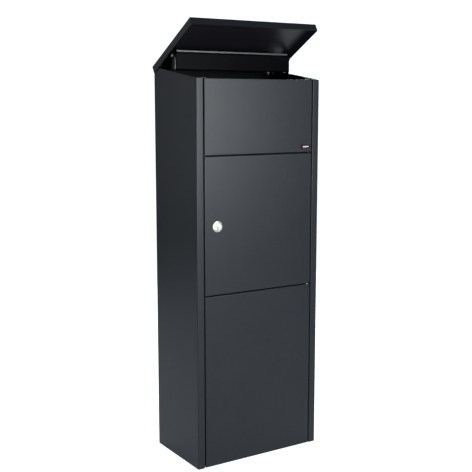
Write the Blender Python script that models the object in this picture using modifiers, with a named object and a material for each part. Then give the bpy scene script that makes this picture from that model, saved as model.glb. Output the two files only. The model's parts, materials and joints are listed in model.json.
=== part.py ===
"""Parcel drop box: a sheet steel cabinet with a hinged drop lid, a locked retrieval door and an anti-theft
flap. The lid stands open. Origin: centre of the underside, +X right, front towards -Y, +Z up."""

from math import atan2, cos, radians, sin, tan

import bmesh
import bpy
from mathutils import Matrix, Vector

# Cabinet
WIDTH = 0.410
DEPTH = 0.240
FRONT_HEIGHT = 1.092
RIM_SLOPE = radians(8.5)
SHEET = 0.0012
GAP = 0.0003
SEAM = 0.003
POST_WIDTH = 0.022
POST_DEPTH = 0.0155
LIP_WIDTH = 0.018
REAR_RETURN = 0.020
REAR_TOP = 1.114
SEGMENTS = 20

# Door, in the front between two fixed panels
DOOR_BOTTOM_SEAM = 0.496
DOOR_TOP_SEAM = 0.884
DOOR_DEPTH = 0.010
DOOR_PIVOT_INSET = 0.007
DOOR_PIVOT_DEPTH = 0.006
PIN_RADIUS = 0.0025
RELIEF_WIDTH = 0.014
RELIEF_DROP = 0.0105

# Lock
LOCK_X = -0.140
LOCK_Z = 0.690
ROSETTE_RADIUS = 0.0155
PLUG_RADIUS = 0.0105
HOUSING_RADIUS = 0.013

# Lid: its own frame has the hinge axis as origin, -Y forward along the lid and +Z out of its top
LID_AXIS = Vector((0.0, 0.1113, 1.1281))
LID_PITCH = radians(28.9)
LID_TRAVEL = LID_PITCH + RIM_SLOPE
LID_OVERHANG = 0.0038
LID_REAR = 0.013
LID_LENGTH = 0.253
LID_TOP = 0.0078
LID_FLANGE = 0.0212
KNUCKLE_RADIUS = 0.004
KNUCKLES = 9
HINGE_LENGTH = 0.372

# Parallelogram of lid, hand guard and flap
GUARD_PIVOT_IN_LID = Vector((0.0, -0.0905, -0.0166))
LINK_DROP = 0.120
FLAP_LENGTH = 0.205
SIDE_LINK_X = 0.1957
LINK_THICK = 0.002
ARM_X = 0.1922

POWDER = (0.055, 0.062, 0.068)
INNER = (0.030, 0.033, 0.038)
ZINC = (0.62, 0.64, 0.66)
CHROME = (0.80, 0.80, 0.76)
NYLON = (0.05, 0.05, 0.05)

front = -DEPTH / 2
rear = DEPTH / 2
half = WIDTH / 2
post_inner = half - POST_WIDTH
panel_half = post_inner - SEAM
lip_front = front + POST_DEPTH
lip_rear = lip_front + SHEET
inner_half = half - SHEET - GAP
side_rear = rear - SHEET - GAP
rear_inner = side_rear - SHEET - GAP
guard_axis = LID_AXIS + Matrix.Rotation(-LID_PITCH, 3, "X") @ GUARD_PIVOT_IN_LID
flap_axis = LID_AXIS - Vector((0.0, 0.0, LINK_DROP))
door_axis = Vector((panel_half - DOOR_PIVOT_INSET, front + DOOR_PIVOT_DEPTH, 0.0))
lock_axis = Vector((LOCK_X, front, LOCK_Z))
crank_length = GUARD_PIVOT_IN_LID.length
crank_slope = atan2(-GUARD_PIVOT_IN_LID.z, -GUARD_PIVOT_IN_LID.y) + RIM_SLOPE


def clear_scene():
    for obj in list(bpy.data.objects):
        bpy.data.objects.remove(obj)


def new_collection(name):
    found = bpy.data.collections.new(name)
    bpy.context.scene.collection.children.link(found)
    return found


def paint(obj, color, roughness, metallic):
    finish = bpy.data.materials.new(obj.name)
    finish.use_nodes = True
    shader = finish.node_tree.nodes["Principled BSDF"]
    shader.inputs["Base Color"].default_value = (*color, 1.0)
    shader.inputs["Roughness"].default_value = roughness
    shader.inputs["Metallic"].default_value = metallic
    obj.data.materials.append(finish)


def place(name, bm, look=None, parent=None):
    """Turns the bmesh into an object: a part with its look, or a cutter when it has none."""
    mesh = bpy.data.meshes.new(name)
    bm.to_mesh(mesh)
    bm.free()
    obj = bpy.data.objects.new(name, mesh)
    if look:
        parts.objects.link(obj)
        paint(obj, *look)
        mesh.shade_smooth()
        mesh.set_sharp_from_angle(angle=radians(30))
    else:
        cutters.objects.link(obj)
        obj.hide_render = True
        obj.display_type = "WIRE"
    if parent:
        obj.parent = parent
    return obj


def joint_empty(name, location, rotation_x=0.0):
    empty = bpy.data.objects.new(name, None)
    empty.location = location
    empty.rotation_euler = (rotation_x, 0.0, 0.0)
    parts.objects.link(empty)
    return empty


def add_box(bm, corner, opposite):
    low = Vector(map(min, corner, opposite))
    high = Vector(map(max, corner, opposite))
    made = bmesh.ops.create_cube(bm, size=1.0)
    size = Matrix.Diagonal((*(high - low), 1.0))
    bmesh.ops.transform(bm, matrix=Matrix.Translation((low + high) / 2) @ size, verts=made["verts"])
    return made["verts"]


def add_rod(bm, start, end, radius, segments=SEGMENTS):
    start, end = Vector(start), Vector(end)
    along = end - start
    turn = Vector((0.0, 0.0, 1.0)).rotation_difference(along).to_matrix().to_4x4()
    made = bmesh.ops.create_cone(
        bm,
        cap_ends=True,
        segments=segments,
        radius1=radius,
        radius2=radius,
        depth=along.length,
        matrix=Matrix.Translation((start + end) / 2) @ turn,
    )
    return made["verts"]


def boxes(name, spans, look=None, parent=None):
    bm = bmesh.new()
    for low, high in spans:
        add_box(bm, low, high)
    return place(name, bm, look, parent)


def rods(name, runs, look=None, parent=None, segments=SEGMENTS):
    """Round bars in one mesh: each run is (start, end, radius)."""
    bm = bmesh.new()
    for start, end, radius in runs:
        add_rod(bm, start, end, radius, segments)
    return place(name, bm, look, parent)


def rod_set(name, runs, look, parent=None, segments=SEGMENTS):
    """Like pieces, each its own numbered object."""
    return [
        rods(f"{name}_{number}", [run], look, parent, segments) for number, run in enumerate(runs, start=1)
    ]


def modify(obj, kind, **settings):
    modifier = obj.modifiers.new(kind.title(), kind)
    for key, value in settings.items():
        setattr(modifier, key, value)
    return modifier


def cut(obj, cutter):
    modify(obj, "BOOLEAN", operation="DIFFERENCE", object=cutter)


def join(obj, other):
    modify(obj, "BOOLEAN", operation="UNION", object=other)


def holes(obj, runs, parent=None):
    cut(obj, rods(obj.name + "_holes", runs, parent=parent))


def tray(name, low, high, open_side, look, bend=0.002, parent=None):
    """A folded pan: a box without its face on open_side, given as an outward direction."""
    bm = bmesh.new()
    add_box(bm, low, high)
    bm.normal_update()
    away = Vector(open_side)
    gone = [face for face in bm.faces if face.normal.dot(away) > 0.9]
    bmesh.ops.delete(bm, geom=gone, context="FACES")
    bends = [edge for edge in bm.edges if len(edge.link_faces) == 2]
    bmesh.ops.bevel(bm, geom=bends, offset=bend, segments=3, profile=0.5, affect="EDGES")
    obj = place(name, bm, look, parent)
    modify(obj, "SOLIDIFY", thickness=SHEET, offset=-1.0, use_even_offset=True)
    return obj


def folded(name, corners, sweep, look, side=-1.0, bend=0.0025, parent=None):
    """A bent strip: its outline's corners swept along one vector, thickened to one side."""
    bm = bmesh.new()
    points = [bm.verts.new(corner) for corner in corners]
    run = [bm.edges.new(pair) for pair in zip(points, points[1:])]
    swept = bmesh.ops.extrude_edge_only(bm, edges=run)
    moved = [item for item in swept["geom"] if isinstance(item, bmesh.types.BMVert)]
    bmesh.ops.translate(bm, vec=Vector(sweep), verts=moved)
    bends = [edge for edge in bm.edges if len(edge.link_faces) == 2]
    if bends:
        bmesh.ops.bevel(bm, geom=bends, offset=bend, segments=3, profile=0.5, affect="EDGES")
    bmesh.ops.recalc_face_normals(bm, faces=bm.faces)
    obj = place(name, bm, look, parent)
    modify(obj, "SOLIDIFY", thickness=SHEET, offset=side, use_even_offset=True)
    return obj


def prism(name, outline, y_span, look=None, parent=None):
    """A plate in the XZ plane: its corners' outline, given a thickness along Y."""
    bm = bmesh.new()
    face = bm.faces.new([bm.verts.new((x, y_span[0], z)) for x, z in outline])
    grown = bmesh.ops.extrude_face_region(bm, geom=[face])
    moved = [item for item in grown["geom"] if isinstance(item, bmesh.types.BMVert)]
    bmesh.ops.translate(bm, vec=(0.0, y_span[1] - y_span[0], 0.0), verts=moved)
    bmesh.ops.recalc_face_normals(bm, faces=bm.faces)
    return place(name, bm, look, parent)


def link_plate(name, ends, radius, x_span, look, parent=None):
    """A flat bar with round ends between two points of the YZ plane."""
    bm = bmesh.new()
    for y, z in ends:
        add_rod(bm, (x_span[0], y, z), (x_span[1], y, z), radius)
    hull = bmesh.ops.convex_hull(bm, input=bm.verts)
    inside = [item for item in hull["geom_interior"] if isinstance(item, bmesh.types.BMVert)]
    bmesh.ops.delete(bm, geom=inside, context="VERTS")
    stray = [face for face in hull["geom_unused"] if isinstance(face, bmesh.types.BMFace)]
    bmesh.ops.delete(bm, geom=stray, context="FACES_ONLY")
    bmesh.ops.dissolve_limit(bm, angle_limit=radians(1), verts=bm.verts, edges=bm.edges)
    return place(name, bm, look, parent)


clear_scene()
parts = new_collection("parcel_drop_box")
cutters = new_collection("cutters")
powder = (POWDER, 0.45, 0.0)
inner = (INNER, 0.5, 0.0)
zinc = (ZINC, 0.35, 1.0)
chrome = (CHROME, 0.18, 1.0)
nylon = (NYLON, 0.6, 0.0)


def make_cabinet():
    rim_cutter = boxes("above_rim", [((-0.3, -0.3, 0.0), (0.3, 0.3, 0.3))])
    rim_cutter.location = (0.0, front, FRONT_HEIGHT)
    rim_cutter.rotation_euler = (RIM_SLOPE, 0.0, 0.0)
    return_cut = boxes("rear_return_cut", [((-0.2025, 0.110, REAR_TOP - 0.001), (0.2025, 0.2, 1.2))])
    corner_cut = boxes("lid_corner_cut", [((-0.3, 0.1155, 1.1225), (0.3, 0.2, 1.2))])
    for name, sign in (("left", -1.0), ("right", 1.0)):
        outline = [
            (sign * (half - REAR_RETURN), side_rear, 0.0),
            (sign * half, side_rear, 0.0),
            (sign * half, front, 0.0),
            (sign * post_inner, front, 0.0),
            (sign * post_inner, lip_front, 0.0),
            (sign * (post_inner - LIP_WIDTH), lip_front, 0.0),
        ]
        panel = folded("side_panel_" + name, outline, (0.0, 0.0, 1.16), powder, side=-1.0, bend=0.0022)
        cut(panel, rim_cutter)
        cut(panel, return_cut)
        cut(panel, corner_cut)
        hem = boxes(
            "rim_hem_" + name,
            [((sign * inner_half, lip_rear + 0.002, -0.014), (sign * (inner_half - 0.0023), 0.103, -0.0015))],
            inner,
        )
        hem.location = (0.0, 0.0, FRONT_HEIGHT - front * tan(RIM_SLOPE))
        hem.rotation_euler = (RIM_SLOPE, 0.0, 0.0)

    back = boxes("back_panel", [((-half, rear - SHEET, 0.0), (half, rear, REAR_TOP))], powder)
    wall_holes = [
        ((x, rear - 0.01, z), (x, rear + 0.01, z), 0.0045) for x in (-0.13, 0.13) for z in (0.22, 0.96)
    ]
    holes(back, wall_holes)

    base = tray(
        "base_pan",
        (-inner_half, lip_rear + GAP, 0.0),
        (inner_half, rear_inner, 0.022),
        (0, 0, 1),
        inner,
    )
    anchors = [((x, y, -0.01), (x, y, 0.01), 0.005) for x in (-0.14, 0.14) for y in (-0.06, 0.07)]
    holes(base, anchors)

    floor_z = DOOR_BOTTOM_SEAM - 0.006
    tray(
        "compartment_floor",
        (-inner_half, lip_rear + GAP, floor_z - 0.022),
        (inner_half, rear_inner, floor_z),
        (0, 0, -1),
        inner,
    )

    panel_rear = lip_front - GAP
    lower_top = DOOR_BOTTOM_SEAM - SEAM / 2
    lower = tray(
        "lower_front_panel", (-panel_half, front, 0.0), (panel_half, panel_rear, lower_top), (0, 1, 0), powder
    )
    relief_left = panel_half - RELIEF_WIDTH
    relief = [
        (relief_left, lower_top + 0.001),
        (relief_left - 0.0025, lower_top + 0.001),
        (panel_half + 0.001, lower_top - RELIEF_DROP - 0.0015),
        (panel_half + 0.001, lower_top - RELIEF_DROP + 0.0010),
    ]
    cut(lower, prism("corner_relief", relief, (front - 0.001, front + SHEET + GAP)))
    upper_bottom = DOOR_TOP_SEAM + SEAM / 2
    upper = tray(
        "upper_front_panel",
        (-panel_half, front, upper_bottom),
        (panel_half, panel_rear, FRONT_HEIGHT),
        (0, 1, 0),
        powder,
    )
    lower_run = (door_axis + Vector((0, 0, 0.478)), door_axis + Vector((0, 0, 0.505)))
    upper_run = (door_axis + Vector((0, 0, 0.876)), door_axis + Vector((0, 0, 0.903)))
    holes(lower, [(*lower_run, PIN_RADIUS + 0.0006)])
    holes(upper, [(*upper_run, PIN_RADIUS + 0.0006)])
    rod_set("door_hinge_pin", [(*lower_run, PIN_RADIUS), (*upper_run, PIN_RADIUS)], zinc)
    bushes = rod_set(
        "door_hinge_bush",
        [
            (door_axis + Vector((0, 0, z - 0.0011)), door_axis + Vector((0, 0, z + 0.0011)), 0.0043)
            for z in (DOOR_BOTTOM_SEAM, DOOR_TOP_SEAM)
        ],
        zinc,
    )
    for bush, run in zip(bushes, (lower_run, upper_run)):
        holes(bush, [(*run, PIN_RADIUS + GAP)])

    rail_half = post_inner - LIP_WIDTH - GAP
    rails = (("upper", DOOR_TOP_SEAM, 0.014, 0.016), ("lower", DOOR_BOTTOM_SEAM, 0.003, 0.016))
    for name, z, low, high in rails:
        corners = [(-rail_half, lip_rear + 0.014, z + high)]
        corners += [(-rail_half, lip_front, z + high), (-rail_half, lip_front, z - low)]
        if name == "lower":
            corners = corners[1:]
        folded(name + "_cross_rail", corners, (2 * rail_half, 0.0, 0.0), inner)

    buffers = [
        ((-0.174, lip_front - 0.0042, z), (-0.174, lip_front - GAP, z), 0.0045)
        for z in (DOOR_BOTTOM_SEAM + 0.06, LOCK_Z + 0.07, DOOR_TOP_SEAM - 0.06)
    ]
    rod_set("door_buffer", buffers, nylon)

    boxes(
        "name_badge",
        [((0.138, front - GAP - 0.001, 0.896), (0.175, front - GAP, 0.907))],
        ((0.10, 0.012, 0.016), 0.3, 0.0),
    )
    flap_stop_z = flap_axis.z - FLAP_LENGTH + 0.02
    stops = [
        ((x, side_rear, flap_stop_z), (x, flap_axis.y - 0.0046, flap_stop_z), 0.005)
        for x in (-0.12, 0.12)
    ]
    rod_set("flap_buffer", stops, nylon)


def knuckle_runs(kind, radius):
    pitch = HINGE_LENGTH / KNUCKLES
    runs = []
    for index in range(KNUCKLES):
        if index % 2 != kind:
            continue
        start = -HINGE_LENGTH / 2 + index * pitch + GAP
        runs.append(((start, 0.0, 0.0), (start + pitch - 2 * GAP, 0.0, 0.0), radius))
    return runs


def hinge_leaf(name, kind, leaf_span, parent, look):
    """One half of the long lid hinge: a leaf with its own knuckles, relieved at the other half's."""
    low, high = leaf_span
    leaf = boxes(name, [((-HINGE_LENGTH / 2, *low), (HINGE_LENGTH / 2, *high))], look, parent)
    reliefs = [
        ((start[0] - GAP, 0.0, 0.0), (end[0] + GAP, 0.0, 0.0), KNUCKLE_RADIUS + 0.0005)
        for start, end, _ in knuckle_runs(1 - kind, 0.0)
    ]
    cut(leaf, rods(name + "_relief", reliefs, parent=parent))
    join(leaf, rods(name + "_knuckles", knuckle_runs(kind, KNUCKLE_RADIUS), parent=parent))
    pin_way = [((-0.2, 0.0, 0.0), (0.2, 0.0, 0.0), 0.0021)]
    holes(leaf, pin_way, parent)
    return leaf


def make_lid():
    hinge_base = joint_empty("lid_hinge_base", LID_AXIS)
    lid = joint_empty("lid_joint", LID_AXIS, -LID_PITCH)
    tangent = KNUCKLE_RADIUS - SHEET
    outer = KNUCKLE_RADIUS - 0.0001
    hinge_leaf("lid_hinge_fixed_leaf", 0, ((tangent, -0.036), (outer, 0.0)), hinge_base, inner)
    hinge_leaf("lid_hinge_moving_leaf", 1, ((-0.028, tangent), (0.0, outer)), lid, inner)
    pin_end = HINGE_LENGTH / 2 + 0.002
    rods("lid_hinge_pin", [((-pin_end, 0, 0), (pin_end, 0, 0), 0.0016)], zinc, hinge_base)

    rail_front = LID_AXIS.y + KNUCKLE_RADIUS + GAP
    boxes(
        "rear_rail",
        [((-0.184, rail_front, REAR_TOP - 0.036), (0.184, side_rear, REAR_TOP - 0.002))],
        inner,
    )

    rivet_x = (-0.13, 0.0, 0.13)
    head = tangent - GAP
    rod_set(
        "fixed_leaf_rivet",
        [((x, head - 0.0012, -0.024), (x, head, -0.024), 0.0032) for x in rivet_x],
        inner,
        hinge_base,
        12,
    )
    rod_set(
        "moving_leaf_rivet",
        [((x, -0.019, head - 0.0012), (x, -0.019, head), 0.0032) for x in rivet_x],
        inner,
        lid,
        12,
    )

    lid_half = half + LID_OVERHANG
    front_edge = LID_REAR - LID_LENGTH
    shell = tray(
        "lid_shell",
        (-lid_half, front_edge, LID_TOP - LID_FLANGE),
        (lid_half, LID_REAR, LID_TOP),
        (0, 0, -1),
        powder,
        parent=lid,
    )
    flange_inner = lid_half - SHEET - GAP
    rear_gap = [((-flange_inner, LID_REAR - 0.003, -0.05), (flange_inner, LID_REAR + 0.01, 0.001))]
    cut(shell, boxes("rear_flange_cut", rear_gap, parent=lid))
    for name, sign in (("left", -1.0), ("right", 1.0)):
        gap_low = (sign * 0.2005, LID_REAR - 0.0045, -0.05)
        gap_high = (sign * flange_inner, LID_REAR + 0.01, LID_TOP - 0.0035)
        cut(shell, boxes("rear_corner_cut_" + name, [(gap_low, gap_high)], parent=lid))

    under = LID_TOP - SHEET - GAP
    boxes(
        "lid_rear_stiffener",
        [((-0.186, -0.030, KNUCKLE_RADIUS + GAP), (0.186, -0.002, under))],
        inner,
        lid,
    )
    buffer_y = front_edge + 0.012
    rod_set(
        "lid_buffer",
        [((x, buffer_y, under), (x, buffer_y, under - 0.0075), 0.005) for x in (-0.150, 0.150)],
        nylon,
        lid,
    )

    pivot = GUARD_PIVOT_IN_LID
    for name, sign in (("left", -1.0), ("right", 1.0)):
        faces = sorted((sign * SIDE_LINK_X, sign * (SIDE_LINK_X + LINK_THICK)))
        ear = link_plate(
            "guard_bracket_" + name,
            [(pivot.y, pivot.z), (pivot.y, -0.004)],
            0.0085,
            faces,
            inner,
            lid,
        )
        foot_x = sorted((sign * (SIDE_LINK_X + LINK_THICK), sign * (SIDE_LINK_X - 0.012)))
        foot = boxes(
            ear.name + "_foot",
            [((foot_x[0], pivot.y - 0.0085, under - 0.0016), (foot_x[1], pivot.y + 0.0085, under))],
            parent=lid,
        )
        web = boxes(
            ear.name + "_web",
            [((faces[0], pivot.y - 0.0085, -0.004), (faces[1], pivot.y + 0.0085, under))],
            parent=lid,
        )
        join(ear, web)
        join(ear, foot)
        holes(ear, [((sign * 0.18, pivot.y, pivot.z), (sign * 0.21, pivot.y, pivot.z), 0.0031)], lid)


def make_guard():
    guard = joint_empty("guard_joint", guard_axis)
    edge = ARM_X - GAP
    folded(
        "hand_guard",
        [
            (-edge, 0.004, -0.039),
            (-edge, -0.012, -0.039),
            (-edge, -0.012, 0.006),
            (-edge, 0.004, 0.006),
        ],
        (2 * edge, 0.0, 0.0),
        inner,
        side=1.0,
        bend=0.0018,
        parent=guard,
    )
    boxes("guard_bar", [((-0.1885, -0.0085, 0.0075), (0.1885, -0.0055, 0.0165))], zinc, guard)
    for name, sign in (("left", -1.0), ("right", 1.0)):
        faces = sorted((sign * ARM_X, sign * (ARM_X + LINK_THICK)))
        arm = link_plate(
            "guard_arm_" + name, [(0.0, 0.0), (0.0, -LINK_DROP)], 0.0085, faces, zinc, guard
        )
        holes(arm, [((sign * 0.18, 0.0, -LINK_DROP), (sign * 0.21, 0.0, -LINK_DROP), 0.0036)], guard)
        holes(arm, [((sign * 0.18, 0.0, 0.0), (sign * 0.21, 0.0, 0.0), 0.0028)], guard)
        tip = SIDE_LINK_X + LINK_THICK + GAP
        shank = [((sign * (ARM_X - 0.001), 0, 0), (sign * (tip + 0.0001), 0, 0), 0.0025)]
        screw = rods("guard_screw_" + name, shank, chrome, guard)
        head = [((sign * tip, 0, 0), (sign * (tip + 0.0024), 0, 0), 0.0042)]
        join(screw, rods(screw.name + "_head", head, parent=guard))
        ring = [((sign * (ARM_X + LINK_THICK + GAP), 0, 0), (sign * (SIDE_LINK_X - GAP), 0, 0), 0.0055)]
        washer = rods("guard_washer_" + name, ring, nylon, guard)
        holes(washer, [((-0.21, 0, 0), (0.21, 0, 0), 0.0028)], guard)


def make_flap():
    flap = joint_empty("flap_joint", flap_axis, -LID_TRAVEL)
    crank_tip = (-crank_length * cos(crank_slope), -crank_length * sin(crank_slope))
    shaft_end = SIDE_LINK_X + LINK_THICK
    shaft_radius = 0.005
    rods("flap_shaft", [((-SIDE_LINK_X + GAP, 0, 0), (SIDE_LINK_X - GAP, 0, 0), shaft_radius)], zinc, flap)
    folded(
        "retrieval_flap",
        [
            (-0.186, -shaft_radius - GAP - SHEET, 0.008),
            (-0.186, -shaft_radius - GAP - SHEET, -FLAP_LENGTH),
            (-0.186, 0.004, -FLAP_LENGTH),
        ],
        (0.372, 0.0, 0.0),
        inner,
        side=1.0,
        bend=0.0018,
        parent=flap,
    )
    for name, sign in (("left", -1.0), ("right", 1.0)):
        faces = sorted((sign * SIDE_LINK_X, sign * shaft_end))
        crank = link_plate("flap_crank_" + name, [(0.0, 0.0), crank_tip], 0.0055, faces, zinc, flap)
        middle = sign * (SIDE_LINK_X + shaft_end) / 2
        studs = [
            ((middle, *crank_tip), (sign * (ARM_X - 0.0015), *crank_tip), 0.0027),
            ((middle, 0, 0), (sign * (inner_half - GAP), 0, 0), 0.003),
        ]
        join(crank, rods(crank.name + "_studs", studs, parent=flap))
        bracket_x = sorted((sign * (inner_half - 0.0012), sign * (shaft_end + 0.0028)))
        bracket = boxes(
            "flap_bracket_" + name,
            [
                (
                    (bracket_x[0], flap_axis.y - 0.011, flap_axis.z - 0.013),
                    (bracket_x[1], rear_inner - 0.0005, flap_axis.z + 0.013),
                )
            ],
            zinc,
        )
        holes(
            bracket,
            [((sign * 0.19, flap_axis.y, flap_axis.z), (sign * 0.21, flap_axis.y, flap_axis.z), 0.0036)],
        )


def make_door():
    door = joint_empty("door_joint", door_axis)
    low = Vector((-panel_half, front, DOOR_BOTTOM_SEAM + SEAM / 2)) - door_axis
    high = Vector((panel_half, front + DOOR_DEPTH, DOOR_TOP_SEAM - SEAM / 2)) - door_axis
    panel = tray("door_panel", low, high, (0, 1, 0), powder, parent=door)
    for name, z in (("lower", DOOR_BOTTOM_SEAM), ("upper", DOOR_TOP_SEAM)):
        pin_way = [((0, 0, z - 0.02), (0, 0, z + 0.02), PIN_RADIUS + 0.0007)]
        cut(panel, rods(name + "_pin_way", pin_way, parent=door))
    door_bottom = DOOR_BOTTOM_SEAM + SEAM / 2
    window_low = (-0.0028, low.y - 0.001, door_bottom - 0.001)
    window_high = (0.0028, low.y + SHEET + GAP, door_bottom + 0.0035)
    cut(panel, boxes("pin_window", [(window_low, window_high)], parent=door))
    lock_way = lock_axis - door_axis
    through = [(lock_way - Vector((0, 0.01, 0)), lock_way + Vector((0, 0.01, 0)), HOUSING_RADIUS + 0.0005)]
    cut(panel, rods("lock_way", through, parent=door))

    skin = front + SHEET + GAP - door_axis.y
    mid = -door_axis.x
    folded(
        "door_stiffener",
        [
            (mid - 0.030, skin, 0.515),
            (mid - 0.016, skin, 0.515),
            (mid - 0.016, skin + 0.008, 0.515),
            (mid + 0.016, skin + 0.008, 0.515),
            (mid + 0.016, skin, 0.515),
            (mid + 0.030, skin, 0.515),
        ],
        (0.0, 0.0, 0.35),
        inner,
        bend=0.0015,
        parent=door,
    )

    def ring(name, y_span, outer, bore, look, segments=SEGMENTS):
        near = lock_way + Vector((0, y_span[0], 0))
        far = lock_way + Vector((0, y_span[1], 0))
        body = rods(name, [(near, far, outer)], look, door, segments)
        bore_run = [(lock_way + Vector((0, -0.02, 0)), lock_way + Vector((0, 0.04, 0)), bore)]
        cut(body, rods(name + "_bore", bore_run, parent=door))
        return body

    bore = PLUG_RADIUS + 0.0005
    ring("lock_rosette", (-0.0024 - GAP, -GAP), ROSETTE_RADIUS, bore, chrome, 32)
    ring("lock_housing", (GAP, 0.0172), HOUSING_RADIUS, bore, zinc, 24)
    ring("lock_nut", (SHEET + GAP, SHEET + GAP + 0.0045), 0.0185, HOUSING_RADIUS + 0.0006, zinc, 6)


def make_lock():
    lock = joint_empty("lock_joint", lock_axis)
    plug = rods("lock_plug", [((0, -0.0030, 0), (0, 0.0176, 0), PLUG_RADIUS)], chrome, lock, 24)
    slot = boxes("key_slot", [((-0.0011, -0.01, -0.0092), (0.0011, 0.006, -0.0004))], parent=lock)
    cut(plug, slot)
    cam = link_plate("lock_cam", [(0.0, 0.0), (0.0, -0.030)], 0.0075, (-0.0012, 0.0012), zinc, lock)
    cam.rotation_euler = (0.0, 0.0, radians(90))
    cam.location = (0.0, 0.0192, 0.0)
    cam.modifiers.clear()
    rods("cam_screw", [((0, 0.0207, 0), (0, 0.0235, 0), 0.0042)], zinc, lock, 6)


make_cabinet()
make_lid()
make_guard()
make_flap()
make_door()
make_lock()
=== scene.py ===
"""Looks of the parcel drop box: finishes for the CAD sheets, and finely made hardware in place of the plain
solids. Metres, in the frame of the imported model: +X right, front towards -Y, +Z up. The profiles of turned
pieces, and the outlines given to scaled(), are in millimetres."""

import json
from math import cos, pi, radians, sin, tau

import bmesh
import bpy
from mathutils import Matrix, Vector


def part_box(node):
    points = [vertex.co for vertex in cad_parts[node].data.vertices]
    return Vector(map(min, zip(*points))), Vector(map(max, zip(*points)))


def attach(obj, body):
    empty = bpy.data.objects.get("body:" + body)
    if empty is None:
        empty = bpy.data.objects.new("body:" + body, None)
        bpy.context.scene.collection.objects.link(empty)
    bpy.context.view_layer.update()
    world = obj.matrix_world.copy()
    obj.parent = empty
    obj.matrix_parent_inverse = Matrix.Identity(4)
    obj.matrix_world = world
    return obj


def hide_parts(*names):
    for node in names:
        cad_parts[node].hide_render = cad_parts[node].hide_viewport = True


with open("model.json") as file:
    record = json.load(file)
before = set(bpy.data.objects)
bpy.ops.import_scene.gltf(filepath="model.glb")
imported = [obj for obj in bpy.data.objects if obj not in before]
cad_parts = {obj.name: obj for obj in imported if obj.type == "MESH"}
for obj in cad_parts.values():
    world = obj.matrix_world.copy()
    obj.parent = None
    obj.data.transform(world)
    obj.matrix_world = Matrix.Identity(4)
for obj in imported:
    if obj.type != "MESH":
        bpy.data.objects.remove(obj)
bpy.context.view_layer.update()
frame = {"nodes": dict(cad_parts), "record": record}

MM = 0.001

# Directions, and the axes of an outline that is drawn seen from the front.
RIGHT = Vector((1.0, 0.0, 0.0))
LEFT = Vector((-1.0, 0.0, 0.0))
FRONT = Vector((0.0, -1.0, 0.0))
BACK = Vector((0.0, 1.0, 0.0))
UP = Vector((0.0, 0.0, 1.0))
LID_PITCH = radians(28.9)
LID_UP = Vector((0.0, sin(LID_PITCH), cos(LID_PITCH)))
TOWARDS_FRONT = (RIGHT, UP, FRONT)
TOWARDS_BACK = (RIGHT, UP, BACK)

DOOR_FACE = -0.12
BACK_FACE = 0.12
SIDE_PANEL_INSIDE = 0.2004
GUARD_SCREW_END = 191.2  # millimetres from the middle of the box
# Where the painted highlight strip on each guard arm's front edge runs, from bottom to top.
GUARD_HIGHLIGHT_BOTTOM, GUARD_HIGHLIGHT_TOP = 1.1185, 1.152
GUARD_BAR_HALF = (0.0031, 0.0014)  # half its height and half its depth
GAP_BOTTOM, GAP_TOP = 1.094, 1.1232
GAP_COVER_FRONT = 0.1130
WALL_HOLES = [(x, BACK_FACE, z) for x in (-0.13, 0.13) for z in (0.22, 0.96)]
ANCHOR_HOLES = [(x, y, 0.0) for x in (-0.14, 0.14) for y in (-0.06, 0.07)]
BUFFERS = (
    # node, foot radius and height in millimetres, way it points
    ("lid_buffer_1", 5.0, 7.5, -LID_UP),
    ("lid_buffer_2", 5.0, 7.5, -LID_UP),
    ("door_buffer_1", 4.5, 3.9, FRONT),
    ("door_buffer_2", 4.5, 3.9, FRONT),
    ("door_buffer_3", 4.5, 3.9, FRONT),
    ("flap_buffer_1", 5.0, 11.8, FRONT),
    ("flap_buffer_2", 5.0, 11.8, FRONT),
)

# Each finish's darker and lighter tone.
COAT = ((0.0125, 0.0145, 0.018), (0.0165, 0.019, 0.023))
INNER_COAT = ((0.0025, 0.0025, 0.0032), (0.0045, 0.0045, 0.0055))
# Painted shade: the hand guard's near-black tones stand in for the shade under the lid.
GUARD_PAINTED_SHADE = ((0.0012, 0.0012, 0.0016), (0.002, 0.002, 0.0026))
ZINC = ((0.50, 0.52, 0.54), (0.68, 0.70, 0.72))
# Painted shade: the guard arms' dark plating stands in for the shade under the lid.
BLACK_ZINC_PAINTED_SHADE = ((0.020, 0.020, 0.023), (0.034, 0.034, 0.038))
CHROMATE = ((0.10, 0.105, 0.11), (0.15, 0.155, 0.16))
NICKEL = ((0.80, 0.765, 0.66), (0.92, 0.88, 0.77))
NYLON = ((0.012, 0.012, 0.013), (0.028, 0.028, 0.030))
ENAMEL = ((0.020, 0.003, 0.005), (0.050, 0.006, 0.009))
PALE = ((0.62, 0.58, 0.58), (0.80, 0.77, 0.76))
FLOOR = ((0.22, 0.22, 0.22), (0.26, 0.26, 0.26))
# Painted shade: a near-black colour painted on the lid's downward faces, standing in for the shade under the
# lid.
LID_PAINTED_SHADE = (0.009, 0.0085, 0.0105)

# How drawn lines in plating are stretched: along X, Y or Z.
DRAWN_X = (0.08, 1.0, 1.0)
DRAWN_Y = (1.0, 0.2, 1.0)
DRAWN_Z = (1.0, 1.0, 0.1)

# A Mix node has inputs of one name for each data type, so its colours are told by their number.
MIX_COLORS = (6, 7)
MIX_RESULT = 2

CAMERA_AT = (-1.3819, -2.1717, 1.0255)
CAMERA_TURN = (radians(81.42), 0.0, radians(-32.40))
CAMERA_LENS = 67.16
CAMERA_SENSOR = 36.0

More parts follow.
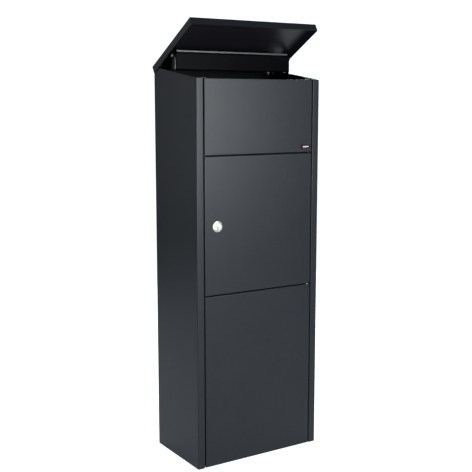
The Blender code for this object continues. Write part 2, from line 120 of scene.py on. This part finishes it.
# The backdrop and the floor are bright to the camera, and dimmer as a light on the object.
AIR_COLOR = (0.82, 0.90, 1.0, 1.0)
BACKDROP_GLOW = 1.3
ROOM_GLOW = 0.07
FLOOR_GLOW = 1.3
FLOOR_BOUNCE = 0.45
FLOOR_HALF = 2.2
FLOOR_TOP = -0.0006
LIGHT_COLOR = (0.90, 0.97, 1.0)
AREA_LIGHTS = (
    # name, place, aim, size, watts
    ("key", (-0.42, -1.0, 0.68), (-0.2, -0.12, 0.75), (0.35, 0.35), 5.2),
    ("softbox", (0.60, -2.1, 1.1), (-0.2, -0.12, 1.0), (0.35, 0.9), 22.0),
    ("wall_sheen", (-1.5, 1.2, 1.15), (-0.2, 0.0, 0.8), (1.2, 1.4), 2.9),
    ("rear_fill", (1.3, 2.1, 1.5), (0.0, 0.12, 0.7), (1.2, 1.4), 70.0),
    ("side_fill", (2.3, 0.7, 1.2), (0.2, 0.0, 0.7), (1.6, 1.8), 15.0),
)
SKY_STRENGTH = 0.1
SKY_SPREAD = radians(40)


# --- materials ------------------------------------------------------------------------------------


class Graph:
    """A short way to wire a material's nodes."""

    def __init__(self, name):
        self.material = bpy.data.materials.new(name)
        self.material.use_nodes = True
        self.tree = self.material.node_tree
        self.shader = self.tree.nodes["Principled BSDF"]

    def feed(self, socket, value):
        """Links another node's output to the socket, or sets the socket's own value."""
        if isinstance(value, bpy.types.NodeSocket):
            self.tree.links.new(value, socket)
        else:
            socket.default_value = value

    def add(self, kind, inputs=None, **settings):
        node = self.tree.nodes.new("ShaderNode" + kind)
        for key, value in settings.items():
            setattr(node, key, value)
        for key, value in (inputs or {}).items():
            self.feed(node.inputs[key], value)
        return node

    def place(self, stretch=(1.0, 1.0, 1.0)):
        coords = self.add("TexCoord").outputs["Object"]
        return self.add("Mapping", {"Vector": coords, "Scale": stretch}).outputs["Vector"]

    def noise(self, where, scale, detail=2.0, roughness=0.5):
        inputs = {"Vector": where, "Scale": scale, "Detail": detail, "Roughness": roughness}
        return self.add("TexNoise", inputs).outputs["Fac"]

    def remap(self, value, low, high, start=0.3, end=0.7):
        """Takes start to low and end to high. A noise lies mostly between the two defaults."""
        inputs = {"Value": value, "From Min": start, "From Max": end, "To Min": low, "To Max": high}
        return self.add("MapRange", inputs).outputs["Result"]

    def mix(self, factor, first, second):
        node = self.add("Mix", {"Factor": factor}, data_type="RGBA")
        for number, color in zip(MIX_COLORS, (first, second)):
            linked = isinstance(color, bpy.types.NodeSocket)
            self.feed(node.inputs[number], color if linked else (*color, 1.0))
        return node.outputs[MIX_RESULT]

    def bump(self, height, strength, distance, under=None):
        inputs = {"Height": height, "Strength": strength, "Distance": distance}
        if under:
            inputs["Normal"] = under
        return self.add("Bump", inputs).outputs["Normal"]

    def finish(self, **sockets):
        for key, value in sockets.items():
            self.feed(self.shader.inputs[key.replace("_", " ")], value)
        return self.material


def powder_coat(name, tones, grain=1.0, shine=0.5, painted_shade_below=False):
    """Fine-textured powder coat: leathery grain, soft orange peel, faint clouds and a light mottle. On
    request, painted shade on the faces that look down.
    """
    graph = Graph(name)
    base, light = tones
    where = graph.place()
    cloud = graph.noise(where, scale=7.0, detail=4.0, roughness=0.6)
    speck = graph.noise(where, scale=2600.0)
    leather = graph.noise(where, scale=950.0, detail=3.0, roughness=0.6)
    peel = graph.noise(where, scale=240.0, detail=1.0)
    mottle = graph.noise(where, scale=330.0, detail=3.0, roughness=0.6)
    color = graph.mix(graph.remap(cloud, 0.0, 1.0), base, light)
    sparks = graph.remap(speck, 0.0, 0.35, start=0.55, end=0.75)
    color = graph.mix(sparks, color, [c * 2.1 for c in light])
    spots = graph.remap(mottle, 0.0, 0.5, start=0.5, end=0.75)
    color = graph.mix(spots, color, [c * 1.8 for c in light])
    rough_parts = {0: graph.remap(leather, 0.30, 0.44), 1: graph.remap(mottle, 0.0, 0.06)}
    rough = graph.add("Math", rough_parts).outputs[0]
    normal = graph.bump(peel, strength=0.10 * grain, distance=0.0004)
    normal = graph.bump(leather, strength=0.30 * grain, distance=0.00016, under=normal)
    # Painted shade: faces that look downward are darkened towards the near-black colour of the shade under
    # the lid.
    if painted_shade_below:
        facing = graph.add("TexCoord").outputs["Normal"]
        up = graph.add("SeparateXYZ", {"Vector": facing}).outputs["Z"]
        color = graph.mix(graph.remap(up, 1.0, 0.0, start=-0.8, end=-0.3), color, LID_PAINTED_SHADE)
    graph.finish(Specular_IOR_Level=shine)
    return graph.finish(Base_Color=color, Roughness=rough, Normal=normal)


def plated(name, tones, rough, stretch):
    """Plated steel: drawn lines along one direction, cloudy plating and tiny pits."""
    graph = Graph(name)
    where = graph.place()
    lines = graph.noise(graph.place(stretch), scale=900.0, detail=3.0, roughness=0.65)
    cloud = graph.noise(where, scale=60.0, detail=3.0, roughness=0.6)
    pits = graph.noise(where, scale=1500.0)
    color = graph.mix(graph.remap(cloud, 0.0, 1.0), *tones)
    normal = graph.bump(lines, strength=0.12, distance=0.00006)
    normal = graph.bump(pits, strength=0.06, distance=0.00005, under=normal)
    polish = graph.remap(lines, *rough)
    return graph.finish(Base_Color=color, Roughness=polish, Normal=normal, Metallic=1.0)


def moulded(name, tones, rough=(0.45, 0.65), lacquer=0.0):
    """Moulded plastic or enamel: fine speckle and a spark-eroded grain."""
    graph = Graph(name)
    where = graph.place()
    cloud = graph.noise(where, scale=90.0, detail=3.0)
    grain = graph.noise(where, scale=1800.0)
    color = graph.mix(graph.remap(cloud, 0.0, 1.0), *tones)
    normal = graph.bump(grain, strength=0.10, distance=0.00008)
    graph.finish(Coat_Weight=lacquer, Coat_Roughness=0.06)
    return graph.finish(Base_Color=color, Roughness=graph.remap(grain, *rough), Normal=normal)


coat = powder_coat("anthracite_powder", COAT)
# The lid's coat has painted shade on its underside.
lid_coat_painted_shade = powder_coat("lid_powder_painted_shade", COAT, painted_shade_below=True)
black_zinc_painted_shade = plated("black_zinc_painted_shade", BLACK_ZINC_PAINTED_SHADE, rough=(0.45, 0.60), stretch=DRAWN_Z)
# Painted highlight: this bright zinc is used only for the strips on the guard arms' front edges.
satin = plated("painted_highlight_zinc", ZINC, rough=(0.42, 0.52), stretch=DRAWN_Z)
# Painted shade: the hand guard is made near-black and barely shiny, for the shade it sits in.
guard_coat_painted_shade = powder_coat("guard_powder_painted_shade", GUARD_PAINTED_SHADE, grain=0.7, shine=0.05)
inner = powder_coat("inner_powder", INNER_COAT, grain=0.7, shine=0.10)
zinc = plated("zinc_plate", ZINC, rough=(0.26, 0.46), stretch=DRAWN_X)
nickel = plated("nickel_satin", NICKEL, rough=(0.38, 0.50), stretch=DRAWN_Y)
chromated = plated("chromated_zinc", CHROMATE, rough=(0.40, 0.58), stretch=DRAWN_X)
nylon = moulded("nylon_moulded", NYLON)
enamel = moulded("enamel_fired", ENAMEL, rough=(0.18, 0.28), lacquer=0.6)
pale = moulded("badge_inlay", PALE, rough=(0.30, 0.42), lacquer=0.3)
LOOKS = {
    "anthracite_powder_coat": coat,
    "inner_powder_coat": inner,
    "zinc_plated_steel": zinc,
    "nickel_plate": nickel,
    "black_nylon": nylon,
    "badge_enamel": enamel,
}
OWN_LOOKS = {
    "lid_shell": lid_coat_painted_shade,
    "hand_guard": guard_coat_painted_shade,
    # Painted shade: the guard arms get the dark plating in place of their zinc.
    "guard_arm_left": black_zinc_painted_shade,
    "guard_arm_right": black_zinc_painted_shade,
}


# --- CAD nodes that stay --------------------------------------------------------------------------


def modify(obj, kind, **settings):
    modifier = obj.modifiers.new(kind.title(), kind)
    for key, value in settings.items():
        setattr(modifier, key, value)


def dress(obj, look, edge, sharp):
    """Gives a mesh its finish, and rounds its edges that are sharper than this angle by this width."""
    obj.data.materials.clear()
    obj.data.materials.append(look)
    if edge:
        modify(obj, "BEVEL", width=edge, segments=2, limit_method="ANGLE", angle_limit=sharp)
    obj.data.shade_smooth()
    modify(obj, "WEIGHTED_NORMAL", keep_sharp=True)


slot_of = {row["node"]: row["material_slot"] for row in frame["record"]["subparts"]}
body_of = {node: body for body, nodes in frame["record"]["behaviour"]["bodies"].items() for node in nodes}
for node, obj in frame["nodes"].items():
    modify(obj, "WELD", merge_threshold=0.00001)
    dress(obj, OWN_LOOKS.get(node, LOOKS[slot_of[node]]), edge=0.00025, sharp=radians(40))


# --- making pieces --------------------------------------------------------------------------------


def scaled(points):
    """Millimetres to metres."""
    return [(x * MM, y * MM) for x, y in points]


def made(name, bm):
    bmesh.ops.recalc_face_normals(bm, faces=bm.faces)
    mesh = bpy.data.meshes.new(name)
    bm.to_mesh(mesh)
    bm.free()
    obj = bpy.data.objects.new(name, mesh)
    bpy.context.scene.collection.objects.link(obj)
    return obj


def turned(name, profile, origin, way, closed=False, segments=48):
    """Turns a profile about an axis. Its points are (radius, distance along way), in millimetres."""
    bm = bmesh.new()
    turn = way.to_track_quat("Z", "Y").to_matrix()
    rings = []
    for radius, along in scaled(profile):
        steps = segments if radius > 0.0 else 1
        ring = []
        for k in range(steps):
            angle = tau * k / steps
            point = Vector((radius * cos(angle), radius * sin(angle), along))
            ring.append(bm.verts.new(Vector(origin) + turn @ point))
        rings.append(ring)
    pairs = list(zip(rings, rings[1:]))
    if closed:
        pairs.append((rings[-1], rings[0]))
    for first, second in pairs:
        for k in range(segments):
            corners = [first[k % len(first)], first[(k + 1) % len(first)]]
            corners += [second[(k + 1) % len(second)], second[k % len(second)]]
            bm.faces.new(list(dict.fromkeys(corners)))
    return made(name, bm)


def slab(name, outline, origin, axes, depth):
    """A straight-sided block: an outline along the first two axes, given a depth along the third."""
    bm = bmesh.new()
    across, up, out = axes
    face = bm.faces.new([bm.verts.new(Vector(origin) + x * across + y * up) for x, y in outline])
    grown = bmesh.ops.extrude_face_region(bm, geom=[face])
    moved = [item for item in grown["geom"] if isinstance(item, bmesh.types.BMVert)]
    bmesh.ops.translate(bm, vec=depth * out, verts=moved)
    return made(name, bm)


def carve(obj, tools, way="DIFFERENCE"):
    """Cuts the tools' shapes out of the object, or keeps what they share, and removes the tools."""
    for tool in tools:
        modify(obj, "BOOLEAN", operation=way, object=tool, solver="EXACT")
    bpy.context.view_layer.update()
    shown = obj.evaluated_get(bpy.context.evaluated_depsgraph_get())
    result = bpy.data.meshes.new_from_object(shown)
    obj.modifiers.clear()
    obj.data = result
    for tool in tools:
        bpy.data.objects.remove(tool)


def fit(obj, look, body, nodes=(), edge=0.00012):
    """Finishes a piece and puts it on its body, in place of CAD nodes."""
    dress(obj, look, edge, sharp=radians(35))
    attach(obj, body)
    if nodes:
        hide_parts(*nodes)


def stand_in(node, piece, look, edge=0.00012):
    fit(piece, look, body_of[node], [node], edge)


def middle(node):
    low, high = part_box(node)
    return (Vector(low) + Vector(high)) / 2


def along_x(node):
    """Where a piece that lies along X starts, and its length in millimetres."""
    low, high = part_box(node)
    at = middle(node)
    return Vector((low.x, at.y, at.z)), (high.x - low.x) / MM


def along_z(node, axis):
    """Where a piece that stands on this axis starts, and its length in millimetres."""
    low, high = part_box(node)
    return Vector((axis.x, axis.y, low.z)), (high.z - low.z) / MM


def rectangle(left, right, bottom, top):
    return [(left, bottom), (right, bottom), (right, top), (left, top)]


def hexagon(radius):
    return [(radius * sin(tau * k / 6), radius * cos(tau * k / 6)) for k in range(6)]


def stadium(half_length, half_height, steps=10):
    run = half_length - half_height
    outline = []
    for end in (1, -1):
        for k in range(steps + 1):
            angle = pi / 2 - pi * k / steps
            outline.append((end * (run + half_height * cos(angle)), end * half_height * sin(angle)))
    return outline


# --- the lock -------------------------------------------------------------------------------------


def on_lock(y):
    """The point of the lock's axis at this y."""
    at = middle("lock_rosette")
    return Vector((at.x, y, at.z))


def make_rosette():
    rim = [(11.0, 0.32), (15.4, 0.32), (15.5, 0.45), (15.5, 1.0), (15.3, 1.35), (14.8, 1.7), (14.0, 2.0)]
    rim += [(13.0, 2.25), (12.6, 2.32), (12.35, 2.66), (11.35, 2.66), (11.0, 2.4)]
    rosette = turned("rosette_turned", rim, on_lock(DOOR_FACE), FRONT, closed=True, segments=96)
    stand_in("lock_rosette", rosette, nickel, edge=0)


def make_plug():
    """The plug with its warded key way, and a dark nylon plate inside it: painted shade for the depth of the
    key way.
    """
    face = [(0.0, -17.5), (9.9, -17.5), (10.4, -17.0), (10.4, 2.45), (10.1, 2.85), (9.4, 2.95)]
    face += [(9.15, 2.95), (9.0, 2.6), (8.5, 2.6), (8.35, 2.9), (4.0, 2.7), (0.0, 2.66)]
    origin = on_lock(DOOR_FACE)
    plug = turned("plug_turned", face, origin, FRONT, segments=96)
    key_way = [(-1.7, -0.2), (-1.7, -3.0), (-1.0, -3.5), (-1.7, -4.0), (-1.7, -9.0), (1.5, -9.0)]
    key_way += [(1.5, -6.6), (0.8, -6.1), (1.5, -5.6), (1.5, -0.2)]
    carve(plug, [slab("key_way", scaled(key_way), origin + 3.5 * MM * FRONT, TOWARDS_BACK, 9.0 * MM)])
    stand_in("lock_plug", plug, nickel, edge=0.0001)
    # Painted shade: a dark plate set in the key way, where there would only be shade.
    plate = scaled(rectangle(-1.65, 1.45, -8.95, -0.25))
    way_shade_plate = slab("key_way_shade_plate", plate, origin + 2.3 * MM * FRONT, TOWARDS_BACK, 2.0 * MM)
    fit(way_shade_plate, nylon, "lock")


def make_housing():
    thread = [(11.0, -0.4), (12.6, -0.4)]
    for turn in range(15):
        thread += [(12.4, -1.0 - turn), (13.0, -1.5 - turn)]
    thread += [(12.4, -16.2), (12.2, -17.1), (11.0, -17.1)]
    housing = turned("housing_threaded", thread, on_lock(DOOR_FACE), FRONT, closed=True, segments=64)
    stand_in("lock_housing", housing, zinc, edge=0)


def make_nut():
    """A hexagonal nut with chamfered corners and a countersunk bore."""
    low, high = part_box("lock_nut")
    deep = (high.y - low.y) / MM
    front = on_lock(low.y)
    nut = slab("nut_hexagonal", hexagon(18.5 * MM), front, TOWARDS_BACK, high.y - low.y)
    cone = [(0.0, 0.0), (16.2, 0.0), (18.5, 1.1), (18.5, deep - 1.1), (16.2, deep), (0.0, deep)]
    carve(nut, [turned("nut_cone", cone, front, BACK)], "INTERSECT")
    bore = [(0.0, -1.0), (14.9, -1.0), (13.6, 0.5), (13.6, deep - 0.5), (14.9, deep + 1.0)]
    bore += [(0.0, deep + 1.0)]
    carve(nut, [turned("nut_bore", bore, front, BACK)])
    stand_in("lock_nut", nut, zinc)


def make_cam_screw():
    low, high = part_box("cam_screw")
    deep = (high.y - low.y) / MM
    front = on_lock(low.y)
    screw = slab("cam_screw_hexagonal", hexagon(4.15 * MM), front, TOWARDS_BACK, high.y - low.y)
    crown = [(0.0, 0.0), (4.15, 0.0), (4.15, deep - 0.5), (3.5, deep - 0.1), (0.0, deep)]
    carve(screw, [turned("screw_crown", crown, front, BACK)], "INTERSECT")
    stand_in("cam_screw", screw, zinc)


# --- badge, rivets and buffers --------------------------------------------------------------------


def make_badge():
    """An oval plate with a blank pale inlay."""
    low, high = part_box("name_badge")
    centre = middle("name_badge")
    half_height = (high.z - low.z) / 2 - 0.0001
    half_length = (high.x - low.x) / 2 - 0.0001
    base = Vector((centre.x, high.y - 0.00005, centre.z))
    plate = slab("badge_plate", stadium(half_length, half_height), base, TOWARDS_FRONT, 0.00075)
    stand_in("name_badge", plate, enamel, edge=0.00045)
    inlay_at = Vector((centre.x + 0.0015, high.y - 0.0007, centre.z))
    inlay = slab("badge_inlay", stadium(0.0105, 0.0022), inlay_at, TOWARDS_FRONT, 0.00024)
    fit(inlay, pale, "cabinet", edge=0.0001)


def make_rivets():
    dome = [(0.0, -0.6), (2.6, -0.6), (3.15, -0.45), (3.15, -0.2)]
    dome += [(2.8, 0.2), (2.1, 0.48), (1.1, 0.59), (0.0, 0.6)]
    for row, way in (("fixed_leaf_rivet", FRONT), ("moving_leaf_rivet", -LID_UP)):
        for number in (1, 2, 3):
            node = f"{row}_{number}"
            rivet = turned(node + "_domed", dome, middle(node), way, segments=32)
            stand_in(node, rivet, inner, edge=0)


def make_buffers():
    for node, radius, height, way in BUFFERS:
        h = height / 2
        foot = [(0.0, -h), (radius - 0.1, -h), (radius, 0.2 - h), (radius, 1.0 - h)]
        foot += [(radius - 0.9, 1.3 - h), (radius - 1.2, h - 1.1), (radius - 1.7, h - 0.4)]
        foot += [(radius - 2.7, h - 0.05), (0.0, h)]
        buffer = turned(node + "_moulded", foot, middle(node), way, segments=36)
        stand_in(node, buffer, nylon, edge=0)


# --- the hand guard -------------------------------------------------------------------------------


def make_guard_screw(side, out):
    """A pan-headed pivot screw with a cross recess, its thread towards the middle of the box."""
    node = "guard_screw_" + side
    low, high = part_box(node)
    tip = max(abs(low.x), abs(high.x)) / MM
    centre = middle(node)
    origin = Vector((0.0, centre.y, centre.z))
    end = GUARD_SCREW_END
    shape = [(0.0, end), (2.1, end), (2.45, end + 0.4)]
    for step in range(7):
        shape += [(2.45, end + 0.7 + step * 0.8), (2.2, end + 1.1 + step * 0.8)]
    shape += [(2.45, tip - 2.4), (4.15, tip - 2.4), (4.2, tip - 1.5), (3.9, tip - 0.8), (3.2, tip - 0.25)]
    shape += [(2.2, tip), (0.0, tip)]
    screw = turned("guard_screw_turned_" + side, shape, origin, out, segments=40)
    bar = scaled(rectangle(-2.3, 2.3, -0.45, 0.45))
    recess_at = origin + (tip - 1.3) * MM * out
    ways = ((BACK, UP, out), (UP, BACK, out))
    carve(screw, [slab("recess", bar, recess_at, axes, 3.0 * MM) for axes in ways])
    stand_in(node, screw, nickel, edge=0.00008)


def make_guard_washer(side, out):
    node = "guard_washer_" + side
    low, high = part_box(node)
    near, far = sorted((abs(low.x) / MM, abs(high.x) / MM))
    centre = middle("guard_screw_" + side)
    origin = Vector((0.0, centre.y, centre.z))
    ring = [(2.8, near), (5.2, near), (5.5, near + 0.25), (5.5, far - 0.25), (5.2, far), (2.8, far)]
    washer = turned("guard_washer_turned_" + side, ring, origin, out, closed=True, segments=40)
    stand_in(node, washer, nylon, edge=0)


def make_guard_bar():
    """The guard's top edge, rolled to a flat bar with round edges."""
    low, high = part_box("guard_bar")
    half_height, half_depth = GUARD_BAR_HALF
    half_length = (high.x - low.x) / 2 - 0.0002
    base = Vector((0.0, high.y - 0.0001, (low.z + high.z) / 2 - 0.0005))
    start = base + Vector((-half_length, -half_depth, 0.0))
    section = stadium(half_height, half_depth, steps=8)
    bar = slab("guard_bar_rolled", section, start, (UP, BACK, RIGHT), 2 * half_length)
    stand_in("guard_bar", bar, chromated, edge=0.0003)


def make_guard_highlight_strip(side):
    """Painted highlight: a bright zinc strip on the front edge of a guard arm, for the light its fold
    catches.
    """
    low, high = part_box("guard_arm_" + side)
    outline = rectangle(low.x + 0.0001, high.x - 0.0001, GUARD_HIGHLIGHT_BOTTOM, GUARD_HIGHLIGHT_TOP)
    edge = slab("guard_highlight_strip_" + side, outline, (0, low.y + 0.0016, 0), TOWARDS_FRONT, 0.0018)
    fit(edge, satin, "guard", edge=0.0004)


# --- pins, shaft, covers and plugs ----------------------------------------------------------------


def make_door_pin(number):
    """A door pin with its bush, both turned about the pin's axis."""
    node = f"door_hinge_pin_{number}"
    axis = middle(node)
    base, long = along_z(node, axis)
    rod = [(0.0, 0.0), (1.9, 0.0), (2.45, 0.6), (2.45, long - 0.9), (2.1, long - 0.3), (1.2, long)]
    rod += [(0.0, long)]
    pin = turned(f"hinge_pin_turned_{number}", rod, base, UP, segments=36)
    stand_in(node, pin, zinc, edge=0)
    node = f"door_hinge_bush_{number}"
    base, thick = along_z(node, axis)
    ring = [(2.75, 0.0), (4.0, 0.0), (4.3, 0.3), (4.3, thick - 0.5), (3.9, thick - 0.1), (3.2, thick)]
    ring += [(2.75, thick)]
    bush = turned(node + "_turned", ring, base, UP, closed=True, segments=36)
    stand_in(node, bush, LOOKS[slot_of[node]], edge=0)


def make_lid_pin():
    start, end = along_x("lid_hinge_pin")
    rod = [(0.0, 0.0), (1.0, 0.05), (1.55, 0.5), (1.55, end - 0.5), (1.0, end - 0.05), (0.0, end)]
    pin = turned("lid_hinge_pin_peened", rod, start, RIGHT, segments=24)
    stand_in("lid_hinge_pin", pin, zinc, edge=0)


def make_flap_shaft():
    start, end = along_x("flap_shaft")
    tube = [(3.4, 0.6), (3.9, 0.0), (4.5, 0.0), (4.95, 0.5), (4.95, end - 0.5), (4.5, end), (3.9, end)]
    tube += [(3.4, end - 0.6)]
    shaft = turned("flap_shaft_tube", tube, start, RIGHT, closed=True, segments=40)
    stand_in("flap_shaft", shaft, zinc, edge=0)


def make_gap_covers():
    """Strips of sheet that close the rear gap between each end of the hinge and the side panel."""
    hinge_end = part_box("lid_hinge_fixed_leaf")[1].x
    for side, sign in (("left", -1), ("right", 1)):
        near, far = sorted((sign * (hinge_end + 0.0004), sign * SIDE_PANEL_INSIDE))
        outline = rectangle(near, far, GAP_BOTTOM, GAP_TOP)
        cover = slab("rear_gap_cover_" + side, outline, (0, GAP_COVER_FRONT, 0), TOWARDS_BACK, 0.0012)
        fit(cover, inner, "cabinet", edge=0.0002)


def make_hole_plugs():
    """Moulded plugs in the four wall holes of the back and the four anchor holes of the base."""
    cap = [(0.0, 0.2), (3.6, 0.2), (4.2, 0.6), (4.2, 1.5), (6.3, 1.5), (6.5, 1.7), (6.1, 2.2)]
    cap += [(4.8, 2.5), (0.0, 2.6)]
    spots = [(at, FRONT) for at in WALL_HOLES] + [(at, UP) for at in ANCHOR_HOLES]
    for number, (at, way) in enumerate(spots, 1):
        plug = turned(f"hole_plug_{number}", cap, at, way, segments=36)
        fit(plug, nylon, "cabinet", edge=0)


make_rosette()
make_plug()
make_housing()
make_nut()
make_cam_screw()
make_badge()
make_rivets()
for side, out in (("left", LEFT), ("right", RIGHT)):
    make_guard_screw(side, out)
    make_guard_washer(side, out)
make_guard_bar()
make_guard_highlight_strip("left")
make_guard_highlight_strip("right")
make_buffers()
make_door_pin(1)
make_door_pin(2)
make_lid_pin()
make_flap_shaft()
make_gap_covers()
make_hole_plugs()


# --- stage ----------------------------------------------------------------------------------------


def placed(name, data, at):
    obj = bpy.data.objects.new(name, data)
    obj.location = at
    bpy.context.scene.collection.objects.link(obj)
    return obj


def make_camera():
    data = bpy.data.cameras.new("photo_camera")
    data.lens = CAMERA_LENS
    data.sensor_width = CAMERA_SENSOR
    camera = placed("photo_camera", data, CAMERA_AT)
    camera.rotation_euler = CAMERA_TURN
    bpy.context.scene.camera = camera


def area_light(name, at, aim, size, power):
    data = bpy.data.lights.new(name, "AREA")
    data.shape = "RECTANGLE"
    data.size, data.size_y = size
    data.energy = power
    data.color = LIGHT_COLOR
    light = placed(name, data, at)
    light.rotation_euler = (Vector(aim) - Vector(at)).to_track_quat("-Z", "Y").to_euler()
    light.visible_camera = False


def sky_light():
    """A weak light from straight above, with soft shadows."""
    data = bpy.data.lights.new("dome", "SUN")
    data.energy = SKY_STRENGTH
    data.angle = SKY_SPREAD
    placed("dome", data, (0.0, 0.0, 0.0))


def make_floor():
    bm = bmesh.new()
    bmesh.ops.create_grid(bm, x_segments=2, y_segments=2, size=FLOOR_HALF)
    mesh = bpy.data.meshes.new("floor")
    bm.to_mesh(mesh)
    bm.free()
    graph = Graph("pale_floor")
    cloud = graph.noise(graph.place(), scale=1.5)
    color = graph.mix(graph.remap(cloud, 0.0, 1.0), *FLOOR)
    seen = graph.add("LightPath").outputs["Is Camera Ray"]
    glow = graph.remap(seen, FLOOR_BOUNCE, FLOOR_GLOW, start=0.0, end=1.0)
    graph.finish(Emission_Color=AIR_COLOR, Emission_Strength=glow)
    mesh.materials.append(graph.finish(Base_Color=color, Roughness=0.9))
    placed("floor", mesh, (0.0, 0.0, FLOOR_TOP))


def make_backdrop():
    world = bpy.data.worlds.new("studio")
    world.use_nodes = True
    nodes, links = world.node_tree.nodes, world.node_tree.links
    ray = nodes.new("ShaderNodeLightPath")
    glow = nodes.new("ShaderNodeMapRange")
    glow.inputs["To Min"].default_value = ROOM_GLOW
    glow.inputs["To Max"].default_value = BACKDROP_GLOW
    links.new(ray.outputs["Is Camera Ray"], glow.inputs["Value"])
    links.new(glow.outputs["Result"], nodes["Background"].inputs["Strength"])
    nodes["Background"].inputs["Color"].default_value = AIR_COLOR
    bpy.context.scene.world = world
    bpy.context.scene.view_settings.view_transform = "Standard"


make_camera()
make_floor()
make_backdrop()
for row in AREA_LIGHTS:
    area_light(*row)
sky_light()
